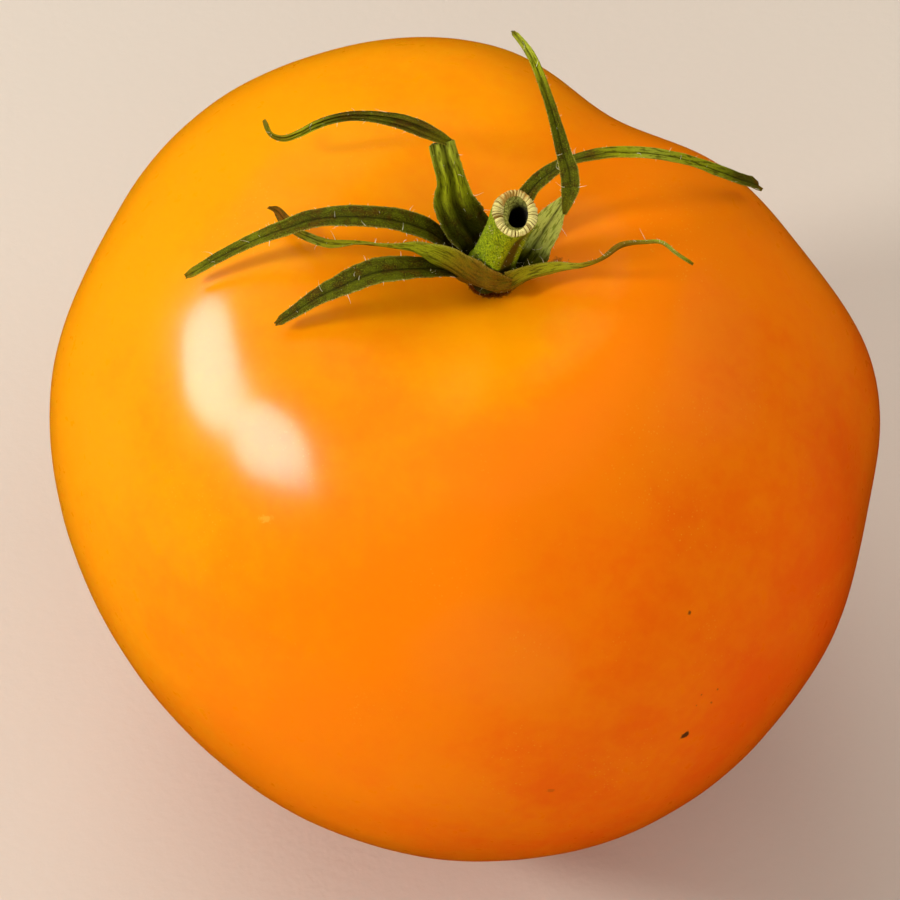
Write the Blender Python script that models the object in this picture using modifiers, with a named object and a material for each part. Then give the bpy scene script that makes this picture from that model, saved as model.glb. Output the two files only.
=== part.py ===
"""A whole yellow-orange tomato, as picked, resting on its blossom end.

The fruit is one solid. On it stand the seven sepals of the dried calyx, the small disc that
they grow from, and the hollow stub of the cut stem. Metres, +Z up. The origin is the middle of
the flat spot that the fruit rests on.
"""

import math
from typing import NamedTuple

import bmesh
import bpy
from mathutils import Matrix, Vector
from mathutils.bvhtree import BVHTree

# The fruit
RING_RADIUS = 0.043  # mean radius of the widest ring
CROWN_RISE = 0.040  # from the widest ring up to the crown, before the stem hollow
BASE_DROP = 0.044  # from the widest ring down to the blossom end, before the flat spot
FOOT_RADIUS = 0.010  # the flat spot that it rests on
EGG = 0.05  # share by which the crown is fuller than the base
OVAL = 0.05  # share by which the ring is longer one way than the other
OVAL_AZIMUTH = 125  # degrees, the way in which the ring is longest
HOLLOW_DEPTH = 0.007  # of the hollow round the stem
HOLLOW_RADIUS = 0.014
STEM_X = 0.0038  # the stem stands a little off the fruit's middle
STEM_Y = 0.0012
ROUND_STEPS = 64
DOWN_STEPS = 38

# The calyx and the stem
CLEARANCE = 0.0003  # between pieces that touch
DISC_FOOT_RADIUS = 0.0024  # of the disc that carries the sepals
DISC_RIM_RADIUS = 0.0036
DISC_HEIGHT = 0.0016
DISC_CROWN_RADIUS = 0.0024
STEM_LENGTH = 0.0102
STEM_FOOT_RADIUS = 0.0021
STEM_WAIST_RADIUS = 0.0019
STEM_TOP_RADIUS = 0.0022
STEM_LEAN = 12  # degrees, towards +X
STEM_CUT = 20  # degrees, by which the cut faces -Y
BORE_RADIUS = 0.0012
BORE_DEPTH = 0.0050
BLADE_THICKNESS = 0.0006
BLADE_KEEL = 0.12  # depth of the fold along a sepal's middle, as a share of its width
BLADE_STEPS = 30  # along a sepal
BLADE_STRIPS = 4  # across a sepal


class Swell(NamedTuple):
    """A soft lobe of the skin, or a groove where it goes inwards."""

    azimuth: float  # degrees round the stem
    half_width: float  # degrees
    out: float  # metres along the skin's normal
    polar: float  # degrees down from the crown
    half_height: float  # degrees


class Station(NamedTuple):
    """A point of a sepal's midrib, with the blade's width and roll there."""

    reach: float  # metres out from the disc's rim
    bearing: float  # degrees round the stem
    rise: float  # metres above the skin
    width: float  # metres
    roll: float  # degrees about the midrib, from level


SWELLS = (
    Swell(60, 17, -0.0040, 62, 29),
    Swell(42, 16, -0.0012, 28, 16),
    Swell(5, 14, 0.0027, 80, 29),
    Swell(153, 13, -0.0013, 85, 29),
    Swell(-24, 12, 0.0006, 72, 30),
    Swell(-42, 12, -0.0005, 60, 26),
    Swell(-88, 14, 0.0005, 45, 30),
)

SEPALS = {
    "sepal_left_upper": (
        Station(0.0000, 171, 0.0016, 0.0018, 0),
        Station(0.0028, 168, 0.0040, 0.0022, 0),
        Station(0.0082, 173, 0.0062, 0.0026, 0),
        Station(0.0136, 176, 0.0058, 0.0025, 0),
        Station(0.0203, 179, 0.0040, 0.0018, 5),
        Station(0.0268, 180, 0.0024, 0.0010, 10),
    ),
    "sepal_left_lower": (
        Station(0.0000, 201, 0.0014, 0.0018, 0),
        Station(0.0022, 198, 0.0026, 0.0022, 0),
        Station(0.0054, 199, 0.0036, 0.0026, 0),
        Station(0.0088, 199, 0.0039, 0.0026, 0),
        Station(0.0122, 200, 0.0035, 0.0024, 0),
        Station(0.0165, 199, 0.0024, 0.0018, 0),
        Station(0.0192, 199, 0.0016, 0.0011, 0),
    ),
    "sepal_front_left": (
        Station(0.0005, 258, 0.0017, 0.0022, -20),
        Station(0.0012, 226, 0.0044, 0.0028, -40),
        Station(0.0032, 202, 0.0068, 0.0027, -50),
        Station(0.0054, 191, 0.0074, 0.0020, -40),
        Station(0.0082, 186, 0.0064, 0.0014, 0),
        Station(0.0122, 181, 0.0040, 0.0011, 40),
        Station(0.0150, 174, 0.0023, 0.0010, 40),
        Station(0.0176, 167, 0.0016, 0.0011, 30),
        Station(0.0202, 161, 0.0026, 0.0010, 20),
    ),
    "sepal_back_left": (
        Station(0.0000, 134, 0.0018, 0.0020, 0),
        Station(0.0012, 132, 0.0040, 0.0032, 0),
        Station(0.0037, 129, 0.0072, 0.0030, 0),
        Station(0.0061, 122, 0.0096, 0.0027, 10),
        Station(0.0077, 127, 0.0106, 0.0018, 50),
        Station(0.0116, 133, 0.0093, 0.0013, 65),
        Station(0.0155, 139, 0.0074, 0.0010, 65),
        Station(0.0185, 144, 0.0055, 0.0009, 50),
        Station(0.0212, 148, 0.0039, 0.0008, 40),
        Station(0.0240, 147, 0.0050, 0.0008, 40),
    ),
    "sepal_right_upright": (
        Station(0.0000, 5, 0.0018, 0.0026, 0),
        Station(0.0010, 12, 0.0046, 0.0033, 10),
        Station(0.0032, 19, 0.0078, 0.0026, 25),
        Station(0.0046, 28, 0.0098, 0.0018, 10),
        Station(0.0053, 40, 0.0113, 0.0015, -10),
        Station(0.0071, 56, 0.0124, 0.0013, -15),
        Station(0.0116, 74, 0.0134, 0.0012, -15),
        Station(0.0156, 84, 0.0132, 0.0010, -15),
    ),
    "sepal_back_right": (
        Station(0.0000, 66, 0.0018, 0.0024, 0),
        Station(0.0024, 61, 0.0050, 0.0022, 0),
        Station(0.0048, 52, 0.0074, 0.0018, 10),
        Station(0.0070, 44, 0.0081, 0.0016, 40),
        Station(0.0100, 36, 0.0082, 0.0015, 40),
        Station(0.0151, 28, 0.0073, 0.0016, 20),
        Station(0.0208, 25, 0.0052, 0.0015, 10),
        Station(0.0268, 28, 0.0028, 0.0013, 10),
    ),
    "sepal_front_right": (
        Station(0.0006, 286, 0.0016, 0.0021, -10),
        Station(0.0015, 322, 0.0027, 0.0020, -30),
        Station(0.0027, 340, 0.0033, 0.0016, -30),
        Station(0.0069, 346, 0.0042, 0.0013, -10),
        Station(0.0092, 353, 0.0052, 0.0012, 50),
        Station(0.0118, 355, 0.0055, 0.0010, 60),
        Station(0.0141, 354, 0.0049, 0.0009, 40),
        Station(0.0162, 352, 0.0038, 0.0009, 20),
    ),
}


def clear_scene():
    """Removes the startup scene's objects."""
    for obj in list(bpy.data.objects):
        bpy.data.objects.remove(obj, do_unlink=True)


def make_collection(name, hidden=False):
    """A new collection of the scene. A hidden one holds cutters."""
    collection = bpy.data.collections.new(name)
    collection.hide_render = hidden
    bpy.context.scene.collection.children.link(collection)
    return collection


def make_material(name, colour, roughness):
    """A plain Principled material."""
    material = bpy.data.materials.new(name)
    material.use_nodes = True
    shader = material.node_tree.nodes["Principled BSDF"]
    shader.inputs["Base Color"].default_value = (*colour, 1.0)
    shader.inputs["Roughness"].default_value = roughness
    shader.inputs["Metallic"].default_value = 0.0
    return material


def add_object(name, mesh, material, collection):
    """Puts a mesh in the scene as a smooth-shaded object of its own."""
    mesh.materials.append(material)
    mesh.shade_smooth()
    obj = bpy.data.objects.new(name, mesh)
    collection.objects.link(obj)
    return obj


def mesh_from(bm, name):
    """Turns a finished bmesh into a mesh, with its faces pointing out."""
    bmesh.ops.recalc_face_normals(bm, faces=bm.faces)
    mesh = bpy.data.meshes.new(name)
    bm.to_mesh(mesh)
    bm.free()
    return mesh


def bump(angle, middle, half_width):
    """A bell curve of an angle, 1 in its middle. All are in radians."""
    apart = math.remainder(angle - middle, math.tau)
    return math.exp(-((apart / half_width) ** 2))


def swelling(polar, azimuth):
    """How far the lobes and grooves move the skin outwards there."""
    total = 0.0
    for swell in SWELLS:
        around = bump(azimuth, math.radians(swell.azimuth), math.radians(swell.half_width))
        down = bump(polar, math.radians(swell.polar), math.radians(swell.half_height))
        total += swell.out * around * down
    return total


def ring_height():
    """Height of the widest ring, so that the flat spot of FOOT_RADIUS lies at 0."""
    return BASE_DROP * math.sqrt(1 - (FOOT_RADIUS / RING_RADIUS) ** 2)


def skin_point(polar, azimuth):
    """A point of the skin, by its angle down from the crown and its azimuth, in radians."""
    across = math.sin(polar)
    upper = polar < math.pi / 2
    oval = OVAL * across * math.cos(2 * (azimuth - math.radians(OVAL_AZIMUTH)))
    radius = RING_RADIUS * across * (1 + EGG * math.cos(polar)) * (1 + oval)
    height = (CROWN_RISE if upper else BASE_DROP) * math.cos(polar)
    out = swelling(polar, azimuth)
    radius += out * across
    height += out * math.cos(polar)
    stem_share = 0.0
    if upper:
        height -= HOLLOW_DEPTH * math.exp(-((radius / HOLLOW_RADIUS) ** 2))
        stem_share = 1 - across
    return Vector((
        radius * math.cos(azimuth) + STEM_X * stem_share,
        radius * math.sin(azimuth) + STEM_Y * stem_share,
        ring_height() + height,
    ))


def flatten_foot(bm):
    """Cuts the fruit off level at 0 and closes the cut with one flat face."""
    geometry = list(bm.verts) + list(bm.edges) + list(bm.faces)
    cut = bmesh.ops.bisect_plane(
        bm, geom=geometry, plane_co=(0, 0, 0), plane_no=(0, 0, 1), clear_inner=True
    )
    edges = [item for item in cut["geom_cut"] if isinstance(item, bmesh.types.BMEdge)]
    bmesh.ops.contextual_create(bm, geom=edges)


def make_fruit(material, collection):
    """The fruit: a sphere whose points are moved onto the skin, with its foot cut flat."""
    bm = bmesh.new()
    bmesh.ops.create_uvsphere(bm, u_segments=ROUND_STEPS, v_segments=DOWN_STEPS, radius=1)
    for vert in bm.verts:
        polar = math.acos(max(-1.0, min(1.0, vert.co.z)))
        vert.co = skin_point(polar, math.atan2(vert.co.y, vert.co.x))
    flatten_foot(bm)
    skin = BVHTree.FromBMesh(bm)
    add_object("fruit", mesh_from(bm, "fruit"), material, collection)
    return skin


def skin_height(skin, x, y):
    """Height of the skin straight below a point over the fruit."""
    above = Vector((x, y, 2 * (CROWN_RISE + BASE_DROP)))
    hit = skin.ray_cast(above, Vector((0, 0, -1)))[0]
    return hit.z


def turned_object(name, profile, material, collection):
    """A solid turned about its own Z axis, from a profile that runs down its outer side."""
    mesh = bpy.data.meshes.new(name)
    edges = [(i, i + 1) for i in range(len(profile) - 1)]
    mesh.from_pydata([(radius, 0.0, height) for radius, height in profile], edges, [])
    obj = add_object(name, mesh, material, collection)
    turn = obj.modifiers.new("turn", "SCREW")
    turn.steps = 28
    turn.render_steps = turn.steps
    turn.use_merge_vertices = True
    turn.merge_threshold = 0.00001
    turn.use_smooth_shade = True
    return obj


def disc_foot_height(skin):
    """Height of the calyx disc's underside, a clearance above the skin under its rim."""
    highest = max(
        skin_height(
            skin,
            STEM_X + DISC_FOOT_RADIUS * math.cos(turn * math.tau / 16),
            STEM_Y + DISC_FOOT_RADIUS * math.sin(turn * math.tau / 16),
        )
        for turn in range(16)
    )
    return highest + CLEARANCE


def make_disc(skin, material, collection):
    """The disc that the sepals grow from: a small cup that widens upwards."""
    profile = (
        (0.0, DISC_HEIGHT),
        (DISC_CROWN_RADIUS, DISC_HEIGHT),
        (DISC_RIM_RADIUS, 0.70 * DISC_HEIGHT),
        (0.97 * DISC_RIM_RADIUS, 0.45 * DISC_HEIGHT),
        (DISC_FOOT_RADIUS, 0.0),
        (0.0, 0.0),
    )
    disc = turned_object("calyx_disc", profile, material, collection)
    disc.location = (STEM_X, STEM_Y, disc_foot_height(skin))
    return disc


def make_stem(skin, material, collection, cutters):
    """The cut stem: a leaning hollow stub, with a blind bore and a slanted cut."""
    lean = math.radians(STEM_LEAN)
    profile = (
        (0.0, STEM_LENGTH - BORE_DEPTH),
        (BORE_RADIUS, STEM_LENGTH - BORE_DEPTH),
        (BORE_RADIUS, 1.2 * STEM_LENGTH),
        (STEM_TOP_RADIUS, 1.2 * STEM_LENGTH),
        (STEM_TOP_RADIUS, 0.85 * STEM_LENGTH),
        (STEM_WAIST_RADIUS, 0.45 * STEM_LENGTH),
        (STEM_FOOT_RADIUS, 0.0),
        (0.0, 0.0),
    )
    stem = turned_object("stem", profile, material, collection)
    foot_lift = STEM_FOOT_RADIUS * math.sin(lean) + CLEARANCE
    stem.location = (STEM_X, STEM_Y, disc_foot_height(skin) + DISC_HEIGHT + foot_lift)
    stem.rotation_euler = (0, lean, 0)
    cutter = make_stem_cutter(cutters)
    cutter.parent = stem
    cut = stem.modifiers.new("cut", "BOOLEAN")
    cut.operation = "DIFFERENCE"
    cut.object = cutter
    return stem


def make_stem_cutter(cutters):
    """The block that takes off the stem's end, tilted to face -Y."""
    side = 2 * STEM_LENGTH
    bm = bmesh.new()
    bmesh.ops.create_cube(bm, size=side)
    bmesh.ops.translate(bm, verts=bm.verts, vec=(0, 0, side / 2))
    cutter = bpy.data.objects.new("stem_cutter", mesh_from(bm, "stem_cutter"))
    cutters.objects.link(cutter)
    cutter.location = (0, 0, STEM_LENGTH)
    cutter.rotation_euler = (math.radians(STEM_CUT), 0, 0)
    cutter.hide_render = True
    cutter.display_type = "WIRE"
    return cutter


def midrib_point(skin, station):
    """Where a station lies in space."""
    reach = DISC_RIM_RADIUS + CLEARANCE + BLADE_THICKNESS / 2 + station.reach
    bearing = math.radians(station.bearing)
    x = STEM_X + reach * math.cos(bearing)
    y = STEM_Y + reach * math.sin(bearing)
    return Vector((x, y, skin_height(skin, x, y) + station.rise))


def smooth_value(values, at):
    """A smooth curve through evenly numbered values, read at a fractional number."""
    last = len(values) - 1
    index = min(int(at), last - 1)
    share = at - index
    before = values[max(index - 1, 0)]
    start, end = values[index], values[index + 1]
    after = values[min(index + 2, last)]
    leave = (end - before) / 2
    arrive = (after - start) / 2
    square, cube = share * share, share**3
    return (
        start * (2 * cube - 3 * square + 1)
        + leave * (cube - 2 * square + share)
        + end * (3 * square - 2 * cube)
        + arrive * (cube - square)
    )


def blade_frame(points, rolls, at):
    """A midrib's point, with the blade's sideways and upward directions there."""
    step = 0.02
    last = len(points) - 1
    point = smooth_value(points, at)
    ahead = smooth_value(points, min(at + step, last))
    behind = smooth_value(points, max(at - step, 0))
    along = (ahead - behind).normalized()
    side = along.cross(Vector((0, 0, 1))).normalized()
    side = Matrix.Rotation(math.radians(smooth_value(rolls, at)), 3, along) @ side
    return point, side, side.cross(along)


def make_sepal(name, stations, skin, material, collection):
    """One sepal: a strip along its midrib, folded a little along the middle, made solid."""
    points = [midrib_point(skin, station) for station in stations]
    rolls = [station.roll for station in stations]
    widths = [station.width for station in stations]
    bm = bmesh.new()
    bmesh.ops.create_grid(bm, x_segments=BLADE_STEPS, y_segments=BLADE_STRIPS, size=1)
    for vert in bm.verts:
        at = (vert.co.x + 1) / 2 * (len(stations) - 1)
        across = vert.co.y
        point, side, up = blade_frame(points, rolls, at)
        width = smooth_value(widths, at)
        fold = BLADE_KEEL * width * abs(across)
        vert.co = point + side * (across * width / 2) + up * fold
    mesh = bpy.data.meshes.new(name)
    bm.to_mesh(mesh)
    bm.free()
    sepal = add_object(name, mesh, material, collection)
    thicken = sepal.modifiers.new("thicken", "SOLIDIFY")
    thicken.thickness = BLADE_THICKNESS
    thicken.offset = 0
    return sepal


def main():
    """Builds the fruit, then what grows from it."""
    clear_scene()
    parts = make_collection("tomato")
    cutters = make_collection("cutters", hidden=True)
    skin_orange = make_material("skin_orange", (0.95, 0.36, 0.01), 0.28)
    sepal_green = make_material("sepal_green", (0.08, 0.13, 0.02), 0.60)
    stem_green = make_material("stem_green", (0.20, 0.26, 0.04), 0.55)
    skin = make_fruit(skin_orange, parts)
    make_disc(skin, sepal_green, parts)
    make_stem(skin, stem_green, parts, cutters)
    for name, stations in SEPALS.items():
        make_sepal(name, stations, skin, sepal_green, parts)


main()
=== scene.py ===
"""The looks of a whole yellow-orange tomato, resting on its blossom end.

The fruit, the calyx of seven dried sepals, the disc that carries them and the cut stem are each
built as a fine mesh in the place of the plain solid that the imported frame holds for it.
All lengths are metres, with +Z up, and the angles in the tables are degrees.
"""

import logging
import math
from dataclasses import dataclass, field
from enum import Enum
from typing import NamedTuple, Sequence

import bpy
import numpy as np
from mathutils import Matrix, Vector, noise
from mathutils.bvhtree import BVHTree


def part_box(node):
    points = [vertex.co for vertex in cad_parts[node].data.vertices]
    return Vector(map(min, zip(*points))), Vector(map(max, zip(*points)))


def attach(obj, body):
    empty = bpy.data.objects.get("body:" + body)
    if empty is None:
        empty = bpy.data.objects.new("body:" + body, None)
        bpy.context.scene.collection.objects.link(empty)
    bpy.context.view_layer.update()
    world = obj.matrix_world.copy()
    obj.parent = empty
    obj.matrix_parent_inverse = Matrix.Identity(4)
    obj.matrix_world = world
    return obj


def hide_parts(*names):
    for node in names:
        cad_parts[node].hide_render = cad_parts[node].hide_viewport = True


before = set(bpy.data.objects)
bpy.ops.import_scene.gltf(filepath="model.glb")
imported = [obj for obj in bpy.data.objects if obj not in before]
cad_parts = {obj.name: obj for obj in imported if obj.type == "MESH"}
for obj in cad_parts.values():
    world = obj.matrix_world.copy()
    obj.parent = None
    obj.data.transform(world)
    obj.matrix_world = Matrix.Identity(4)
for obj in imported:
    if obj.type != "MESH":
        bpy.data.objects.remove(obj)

log = logging.getLogger("tomato")

Colour = tuple[float, float, float]
Socket = bpy.types.NodeSocket
MM = 0.001
BODY = "root"
APART_UNIT = 10 * MM
TINY = 1e-12
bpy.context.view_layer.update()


class Surface(Enum):
    """The surfaces that a piece can have. The value is the material slot on its mesh."""

    TISSUE = 0
    HAIR = 1


class LampUse(Enum):
    """What a light is for: soft light over everything, or a bright glint in the gloss."""

    SOFT = "soft"
    GLINT = "glint"


class Swell(NamedTuple):
    """A soft lobe of the skin, or a groove where it goes inwards."""

    azimuth: float
    half_width: float
    out: float
    polar: float
    half_height: float


class Station(NamedTuple):
    """A point of a sepal's midrib, and what the blade is like there. Its lengths are millimetres.

    The reach is measured outwards from the disc's rim, and the rise upwards from the skin.
    """

    reach: float
    bearing: float
    rise: float
    width: float
    roll: float
    pale: float = 0.0
    dry: float = 0.0


class Mark(NamedTuple):
    """A small mark on the skin."""

    azimuth: float
    polar: float
    radius: float
    stretch: float
    depth: float


# --------------------------------------------------------------------------- small maths


def smooth_curve(values: np.ndarray, knots: np.ndarray, at: np.ndarray) -> np.ndarray:
    """Reads a smooth curve that passes through a row of values.

    Args:
        values: The values, one row each.
        knots: Where each row lies along the curve, in rising order.
        at: Where to read the curve, in the same measure.

    Returns:
        One row for each entry of at.
    """
    gaps = np.diff(knots)[:, None]
    slopes = np.diff(values, axis=0) / gaps
    mixed = (slopes[:-1] * gaps[1:] + slopes[1:] * gaps[:-1]) / (gaps[1:] + gaps[:-1])
    tangents = np.concatenate([slopes[:1], mixed, slopes[-1:]])
    index = np.clip(np.searchsorted(knots, at, side="right") - 1, 0, len(gaps) - 1)
    gap = gaps[index]
    share = (at - knots[index])[:, None] / gap
    square, cube = share**2, share**3
    return (
        values[index] * (2 * cube - 3 * square + 1)
        + tangents[index] * gap * (cube - 2 * square + share)
        + values[index + 1] * (3 * square - 2 * cube)
        + tangents[index + 1] * gap * (cube - square)
    )


def unit(vectors: np.ndarray) -> np.ndarray:
    """Scales each row to a length of 1."""
    return vectors / np.maximum(np.linalg.norm(vectors, axis=-1, keepdims=True), TINY)


def turned_apart(turns: np.ndarray, degrees: float) -> np.ndarray:
    """How far each turn is from an azimuth in degrees, the short way round, in radians."""
    return np.angle(np.exp(1j * (turns - math.radians(degrees))))


def step(low: float, high: float, value: np.ndarray | float) -> np.ndarray:
    """A smooth step, from 0 at low to 1 at high."""
    share = np.clip((value - low) / (high - low), 0, 1)
    return share * share * (3 - 2 * share)


def bell(value: np.ndarray | float, width: float) -> np.ndarray:
    """A bell curve, 1 where the value is 0."""
    return np.exp(-((value / width) ** 2))


def grain(points: np.ndarray, size: float, seed: float = 0.0) -> np.ndarray:
    """Soft noise, from about -1 to 1.

    Args:
        points: Where to read it, as an array of points of any shape.
        size: The size of its lumps, in the unit of the points.
        seed: Moves the pattern, so that two uses differ.

    Returns:
        One value for each point.
    """
    flat = points.reshape(-1, 3) / size + seed
    values = [noise.noise(Vector(point)) for point in flat]
    return np.array(values).reshape(points.shape[:-1])


# --------------------------------------------------------------------------- meshes


class MeshMaker:
    """Collects points, faces and values at the points, and makes one object of them."""

    def __init__(self, name: str) -> None:
        """Starts an empty piece of that name."""
        self.name = name
        self.points: list[np.ndarray] = []
        self.faces: list[tuple[int, ...]] = []
        self.surfaces: list[int] = []
        self.values: dict[str, list[np.ndarray]] = {}
        self.count = 0

    def add(
        self,
        points: np.ndarray,
        faces: Sequence[tuple[int, ...]],
        surface: Surface,
        values: dict[str, np.ndarray],
    ) -> None:
        """Adds points and the faces between them.

        Args:
            points: The points, one row each.
            faces: The faces, as numbers of those points.
            surface: Which surface of the piece they are.
            values: Named values, one for each point.
        """
        for name in set(self.values) | set(values):
            kept = self.values.setdefault(name, [np.zeros(self.count)])
            kept.append(np.asarray(values.get(name, np.zeros(len(points))), float))
        self.faces += [tuple(int(i) + self.count for i in face) for face in faces]
        self.surfaces += [surface.value] * len(faces)
        self.points.append(points)
        self.count += len(points)

    def loft(
        self,
        rings: np.ndarray,
        values: dict[str, np.ndarray],
        surface: Surface = Surface.TISSUE,
    ) -> None:
        """Adds a closed skin through a row of rings, with a fan of faces at either end.

        Args:
            rings: The rings, as an array of ring, point and coordinate.
            values: Named values, as arrays of ring and point.
            surface: Which surface of the piece it is.
        """
        count, around = rings.shape[:2]
        ends = np.stack([rings[0].mean(0), rings[-1].mean(0)])
        points = np.vstack([rings.reshape(-1, 3), ends])
        faces: list[tuple[int, ...]] = []
        for ring in range(count - 1):
            low, high = ring * around, (ring + 1) * around
            for i in range(around):
                j = (i + 1) % around
                faces.append((low + i, low + j, high + j, high + i))
        first, last = count * around, count * around + 1
        top = (count - 1) * around
        for i in range(around):
            j = (i + 1) % around
            faces.append((first, j, i))
            faces.append((last, top + i, top + j))
        flat = {
            name: np.concatenate([value.reshape(-1), [value[0].mean(), value[-1].mean()]])
            for name, value in values.items()
        }
        self.add(points, faces, surface, flat)

    def finish(self, materials: Sequence[bpy.types.Material]) -> bpy.types.Object:
        """Makes the object, smooth-shaded.

        Args:
            materials: One for each surface, in the order of Surface.

        Returns:
            The new object, linked to the scene.
        """
        mesh = bpy.data.meshes.new(self.name)
        mesh.from_pydata(np.vstack(self.points).tolist(), [], self.faces)
        for material in materials:
            mesh.materials.append(material)
        mesh.polygons.foreach_set("material_index", self.surfaces)
        for name, parts in self.values.items():
            attribute = mesh.attributes.new(name, "FLOAT", "POINT")
            attribute.data.foreach_set("value", np.concatenate(parts).astype(np.float32))
        mesh.shade_smooth()
        mesh.update()
        piece = bpy.data.objects.new(self.name, mesh)
        bpy.context.scene.collection.objects.link(piece)
        return piece


@dataclass(frozen=True)
class Hairs:
    """The fine pale hairs of the green parts."""

    radius: float = 0.028 * MM
    sides: int = 3
    rings: int = 6
    taper: float = 0.85
    bend: float = 0.45
    curl: float = 0.6

    def grow(
        self,
        maker: MeshMaker,
        roots: np.ndarray,
        ways: np.ndarray,
        lengths: np.ndarray,
        rng: np.random.Generator,
    ) -> None:
        """Adds one curved, tapering hair at each root.

        Args:
            maker: The piece that the hairs belong to.
            roots: Where the hairs start.
            ways: The directions in which they leave.
            lengths: How long they are.
            rng: The source of their bends.
        """
        for root, way, length in zip(roots, unit(ways), lengths):
            bend = rng.normal(0, self.bend, 3)
            shares = np.linspace(0, 1, self.rings)[:, None]
            spine = root + length * (way * shares + bend * shares**2 * self.curl)
            side = unit(np.cross(way, [0.31, 0.47, 0.83]))
            other = np.cross(way, side)
            turns = np.linspace(0, math.tau, self.sides, endpoint=False)
            round_way = np.cos(turns)[:, None] * side + np.sin(turns)[:, None] * other
            radii = self.radius * (1 - self.taper * shares[:, :, None])
            rings = spine[:, None, :] + round_way[None] * radii
            maker.loft(rings, {}, Surface.HAIR)


# --------------------------------------------------------------------------- finishes


class Board:
    """A material's node tree, with short ways to add and join nodes."""

    # The colour sockets of a Mix node share their names with its number sockets.
    COLOUR_A, COLOUR_B, COLOUR_OUT = 6, 7, 2

    def __init__(self, name: str) -> None:
        """Starts a material with one Principled shader."""
        self.material = bpy.data.materials.new(name)
        self.material.use_nodes = True
        self.tree = self.material.node_tree
        self.shader = self.tree.nodes["Principled BSDF"]

    def node(
        self, kind: str, settings: dict[str, object] | None = None, **sockets: object
    ) -> bpy.types.Node:
        """Adds a node.

        Args:
            kind: The node's type, without ShaderNode.
            settings: Its own settings, by name.
            sockets: Values or outputs for its inputs, with _ for a space.

        Returns:
            The new node.
        """
        made = self.tree.nodes.new("ShaderNode" + kind)
        for name, value in (settings or {}).items():
            setattr(made, name, value)
        for name, value in sockets.items():
            self.put(made.inputs[name.replace("_", " ")], value)
        return made

    def put(self, socket: Socket, value: object) -> None:
        """Sets a socket to a value, or joins an output to it.

        Args:
            socket: The input to fill.
            value: A number, a colour, a vector, or another node's output.
        """
        if isinstance(value, Socket):
            self.tree.links.new(value, socket)
        elif isinstance(value, tuple) and len(value) == 3 and socket.type == "RGBA":
            socket.default_value = (*value, 1.0)
        else:
            socket.default_value = value

    def attribute(self, name: str) -> Socket:
        """The value that the mesh holds under that name."""
        return self.node("Attribute", {"attribute_name": name}).outputs["Fac"]

    def place(self) -> Socket:
        """The point's place on the object, in metres."""
        return self.node("TexCoord").outputs["Object"]

    def combine(self, x: object, y: object, z: object) -> Socket:
        """Joins three numbers into a vector."""
        return self.node("CombineXYZ", X=x, Y=y, Z=z).outputs["Vector"]

    def speckle(self, where: Socket, size: float, detail: float = 2.0, rough: float = 0.5) -> Socket:
        """Noise with lumps of that size, from 0 to 1."""
        made = self.node("TexNoise", Vector=where, Scale=1 / size, Detail=detail, Roughness=rough)
        return made.outputs["Fac"]

    def spread(
        self, value: Socket, low: float, high: float, to_low: float = 0.0, to_high: float = 1.0
    ) -> Socket:
        """Maps a range smoothly to another, and clamps what lies outside it.

        Args:
            value: The value to map.
            low: Where the range starts. It may be above high.
            high: Where the range ends.
            to_low: What low becomes.
            to_high: What high becomes.

        Returns:
            The mapped value.
        """
        ends = {"From Min": low, "From Max": high, "To Min": to_low, "To Max": to_high}
        made = self.node("MapRange", {"interpolation_type": "SMOOTHSTEP"}, Value=value)
        for name, end in ends.items():
            made.inputs[name].default_value = end
        return made.outputs["Result"]

    def add(self, first: object, second: object) -> Socket:
        """The first number plus the second."""
        return self._sum("ADD", first, second)

    def times(self, first: object, second: object) -> Socket:
        """The first number times the second."""
        return self._sum("MULTIPLY", first, second)

    def _sum(self, kind: str, first: object, second: object) -> Socket:
        """Works out a sum of two numbers.

        Args:
            kind: The sum, such as ADD.
            first: The first number.
            second: The second number.

        Returns:
            The result.
        """
        made = self.node("Math", {"operation": kind})
        self.put(made.inputs[0], first)
        self.put(made.inputs[1], second)
        return made.outputs["Value"]

    def vector(self, kind: str, first: Socket, second: Sequence[float] = (0, 0, 0)) -> bpy.types.Node:
        """Works out a vector sum.

        Args:
            kind: The sum, such as SUBTRACT.
            first: The vector that it starts from.
            second: The fixed vector, where the sum has one.

        Returns:
            The node, with a vector and a number as outputs.
        """
        made = self.node("VectorMath", {"operation": kind})
        self.put(made.inputs[0], first)
        made.inputs[1].default_value = second
        return made

    def blend(self, share: Socket, first: object, second: object) -> Socket:
        """Mixes two colours.

        Args:
            share: How much of the second colour there is, from 0 to 1.
            first: The first colour.
            second: The second colour.

        Returns:
            The mixed colour.
        """
        made = self.node("Mix", {"data_type": "RGBA"})
        self.put(made.inputs["Factor"], share)
        self.put(made.inputs[self.COLOUR_A], first)
        self.put(made.inputs[self.COLOUR_B], second)
        return made.outputs[self.COLOUR_OUT]

    def bump(self, height: Socket, distance: float) -> None:
        """Joins a height to the shader's normal."""
        made = self.node("Bump", Height=height, Distance=distance)
        self.tree.links.new(made.outputs["Normal"], self.shader.inputs["Normal"])

    def coat(self, **sockets: object) -> None:
        """Sets the shader's own inputs, with _ for a space."""
        for name, value in sockets.items():
            self.put(self.shader.inputs[name.replace("_", " ")], value)


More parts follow.
